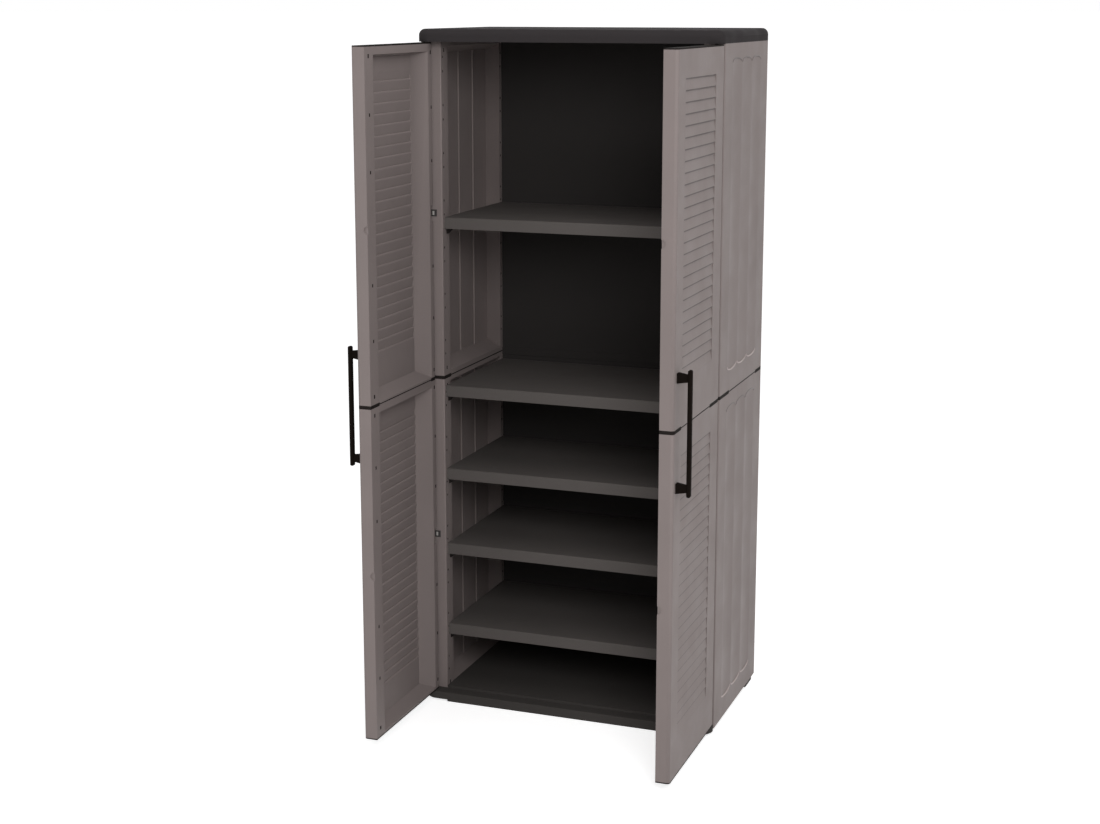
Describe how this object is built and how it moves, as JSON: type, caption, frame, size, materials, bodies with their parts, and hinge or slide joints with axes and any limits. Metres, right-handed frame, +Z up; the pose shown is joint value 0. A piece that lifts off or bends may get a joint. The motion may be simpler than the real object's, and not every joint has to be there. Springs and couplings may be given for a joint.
{
  "type": "garden storage cabinet",
  "caption": "Tall free-standing plastic outdoor cabinet with two louvred doors hung on pins, bar handles, shelves on clips, fluted side panels, a base tray and a rounded cap.",
  "frame": {"origin": "on the floor under the middle of the carcass, on the underside of the base's centre pad", "axes": "+X to the right seen from the front, +Y to the back, +Z up; both doors stand open at a right angle"},
  "size_m": [0.87, 0.8245, 1.783],
  "materials": {
    "panel_plastic": "fine-grained taupe",
    "door_plastic": "fine-grained taupe",
    "base_plastic": "fine-grained dark brown-grey",
    "cap_plastic": "fine-grained dark brown-grey",
    "shelf_plastic": "fine-grained dark brown-grey",
    "back_plastic": "fine-grained dark brown-grey",
    "trim_plastic": "smooth dark brown",
    "handle_plastic": "smooth dark brown",
    "clip_plastic": "smooth dark brown"
  },
  "bodies": {
    "cabinet": {"base_tray": "base_plastic", "top_cap": "cap_plastic", "back_lower": "back_plastic", "back_upper": "back_plastic", "back_connector": "trim_plastic", "shelf_1": "shelf_plastic", "shelf_2": "shelf_plastic", "shelf_3": "shelf_plastic", "shelf_4": "shelf_plastic", "shelf_5": "shelf_plastic", "side_right_lower": "panel_plastic", "side_right_upper": "panel_plastic", "side_connector_right": "trim_plastic", "hinge_brackets_right": "clip_plastic", "shelf_clips_right": "clip_plastic", "side_left_lower": "panel_plastic", "side_left_upper": "panel_plastic", "side_connector_left": "trim_plastic", "hinge_brackets_left": "clip_plastic", "shelf_clips_left": "clip_plastic"},
    "right_door": {"door_right_lower": "door_plastic", "door_right_upper": "door_plastic", "door_connector_right": "trim_plastic", "door_top_plate_right": "trim_plastic", "door_bottom_plate_right": "trim_plastic", "handle_right": "handle_plastic"},
    "left_door": {"door_left_lower": "door_plastic", "door_left_upper": "door_plastic", "door_connector_left": "trim_plastic", "door_top_plate_left": "trim_plastic", "door_bottom_plate_left": "trim_plastic", "handle_left": "handle_plastic"}
  },
  "joints": [
    {"name": "right_door_hinge", "type": "hinge", "parent": "cabinet", "child": "right_door", "pos_m": [0.3825, -0.231, 0.8875], "axis": [0, 0, 1], "range_deg": [-90, 15]},
    {"name": "left_door_hinge", "type": "hinge", "parent": "cabinet", "child": "left_door", "pos_m": [-0.3825, -0.231, 0.8875], "axis": [0, 0, 1], "range_deg": [-15, 90]}
  ]
}
